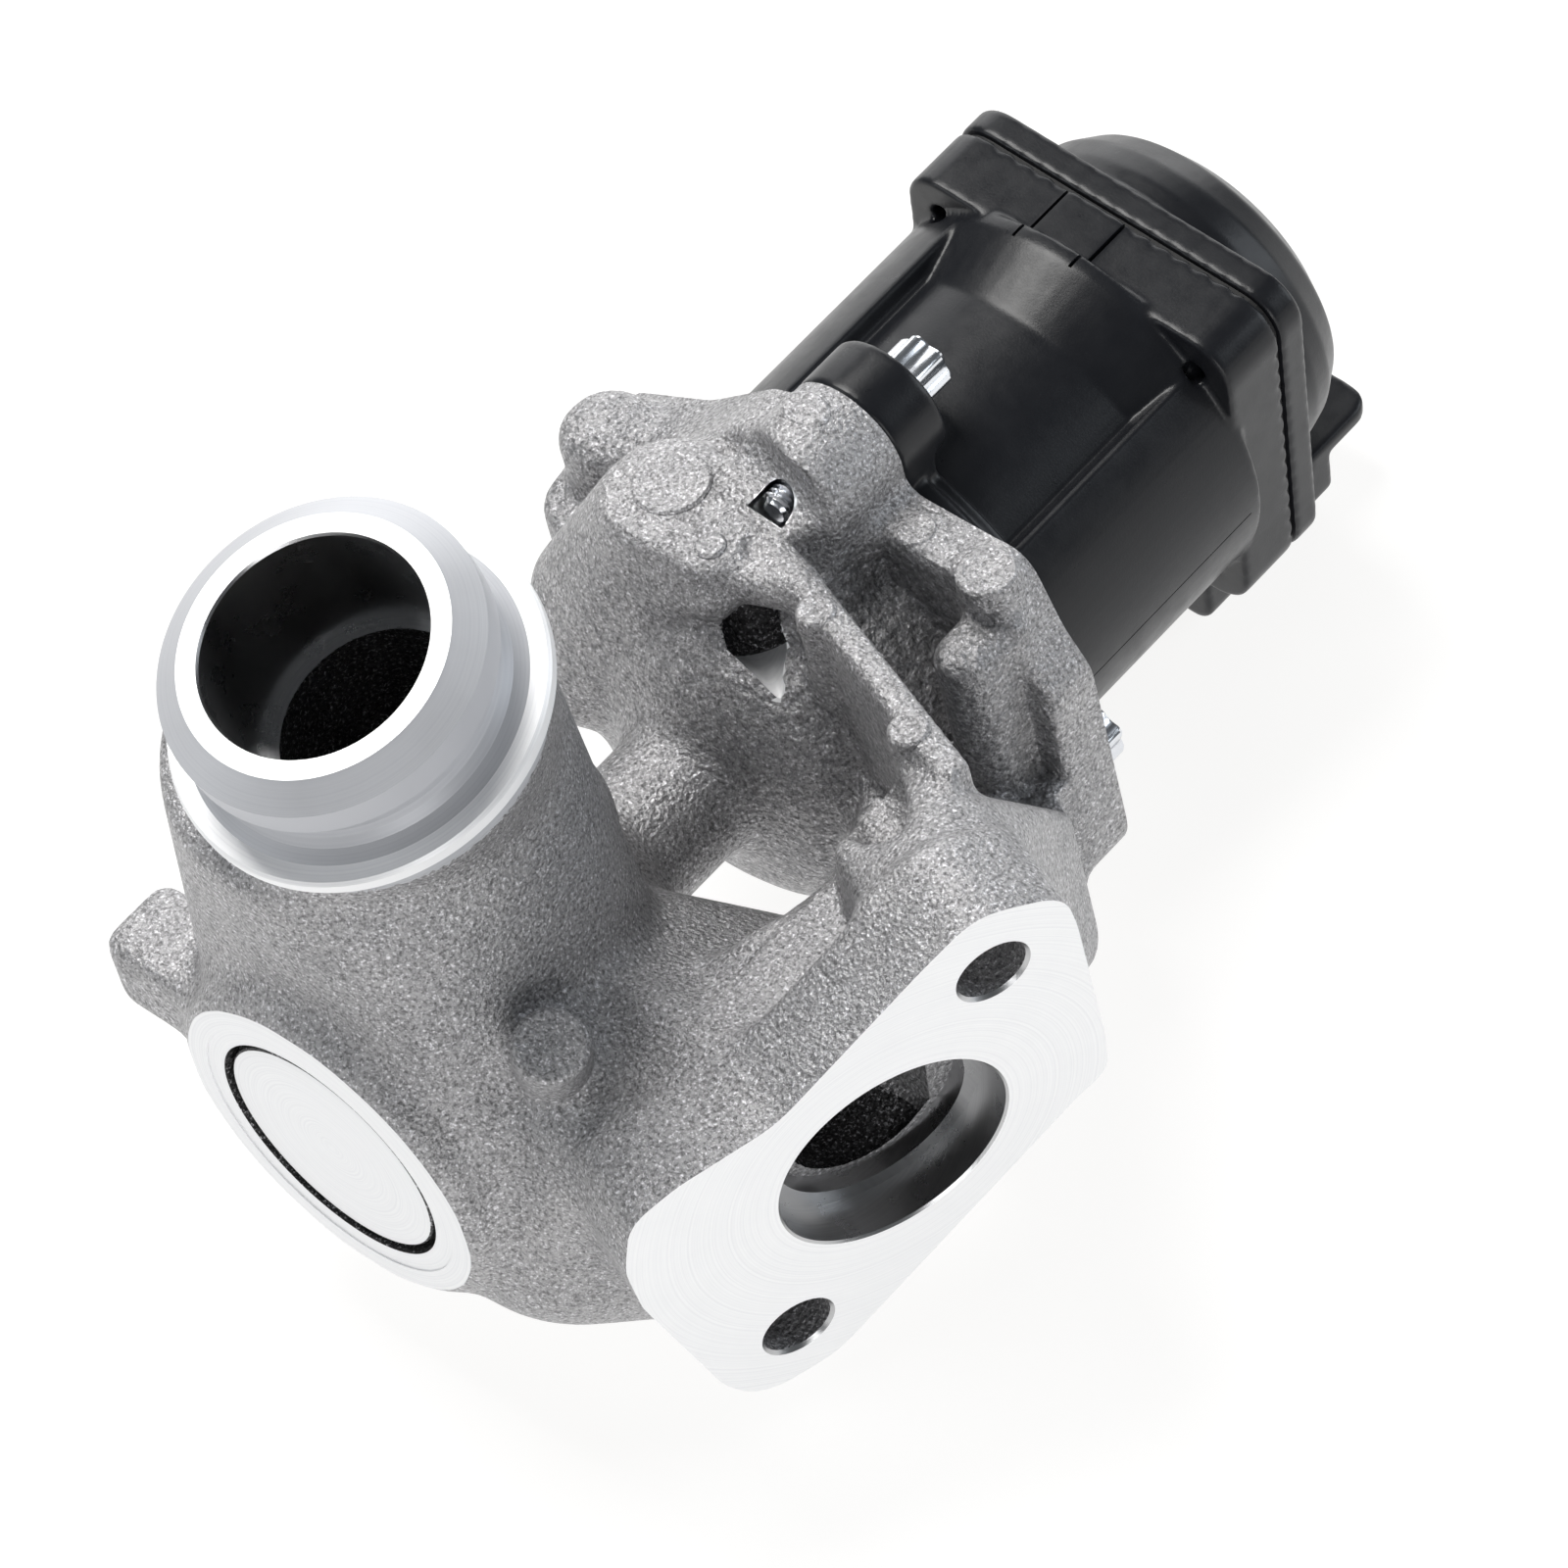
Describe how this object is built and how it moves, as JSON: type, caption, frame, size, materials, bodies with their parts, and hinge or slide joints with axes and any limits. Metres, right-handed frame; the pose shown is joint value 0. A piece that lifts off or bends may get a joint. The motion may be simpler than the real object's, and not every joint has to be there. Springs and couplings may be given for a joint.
{
  "type": "exhaust gas recirculation valve",
  "caption": "Electric exhaust gas recirculation valve: cast aluminium body with a flanged inlet and a clamped outlet spigot, and a black plastic motor with a domed cap.",
  "frame": {"origin": "centre of the inlet port, in the plane of the inlet flange face", "axes": "+Y along the motor and valve axis, from the core plug to the domed cap; +Z towards the outlet spigot; +X from the valve axis towards the inlet flange"},
  "size_m": [0.114, 0.184, 0.1234],
  "materials": {
    "cast_aluminium": "as-cast, fine shot-blasted grain, machined faces bright",
    "machined_aluminium": "turned",
    "seat_steel": "ground",
    "stem_steel": "ground",
    "bronze": "sintered",
    "spring_steel": "drawn wire",
    "black_plastic": "glass-filled moulding, satin",
    "white_plastic": "moulded",
    "pale_plastic": "moulded",
    "rubber_black": "moulded",
    "graphite_gasket": "pressed sheet",
    "zinc_steel": "bright zinc plated",
    "bearing_steel": "ground",
    "core_steel": "stacked laminations",
    "copper": "enamelled wire",
    "magnet": "bonded magnet",
    "board_green": "solder resist",
    "chip_black": "moulded",
    "tin": "tin plated"
  },
  "bodies": {
    "body": {"valve_body": "cast_aluminium", "core_plug": "machined_aluminium", "valve_seat": "seat_steel", "stem_guide": "bronze", "stem_scraper": "stem_steel", "stem_seal": "rubber_black", "seal_retainer": "zinc_steel", "body_gasket": "graphite_gasket", "motor_housing": "black_plastic", "ear_sleeves": "zinc_steel", "motor_screws": "zinc_steel", "lower_bearing": "bearing_steel", "stator_core": "core_steel", "stator_coils": "copper", "coil_insulators": "white_plastic", "upper_bearing": "bearing_steel", "bearing_carrier": "chip_black", "guide_bush": "bronze", "return_spring": "spring_steel", "spring_seat": "zinc_steel", "sensor_board": "board_green", "hall_sensor": "chip_black", "connector_pins": "tin", "cap_cover": "black_plastic", "cover_seal": "rubber_black", "cover_screws": "zinc_steel"},
    "rotor": {"rotor_hub": "pale_plastic", "rotor_magnet": "magnet"},
    "valve_train": {"valve_stem": "seat_steel", "spring_retainer": "zinc_steel", "stem_keepers": "zinc_steel", "lead_screw": "stem_steel", "sensor_magnet": "magnet"}
  },
  "joints": [
    {"name": "rotor_spin", "type": "hinge", "parent": "body", "child": "rotor", "pos_m": [-0.0595, 0.09, 0], "axis": [0, 1, 0], "range_deg": [0, 360]},
    {"name": "valve_slide", "type": "slide", "parent": "body", "child": "valve_train", "axis": [0, -1, 0], "range_m": [0, 0.006], "stiffness_N_per_m": 800, "springref_m": -0.012, "deforming": ["return_spring"]}
  ],
  "couplings": [
    {"joint": "rotor_spin", "follows": "valve_slide", "rad_per_m": 1047.2}
  ]
}
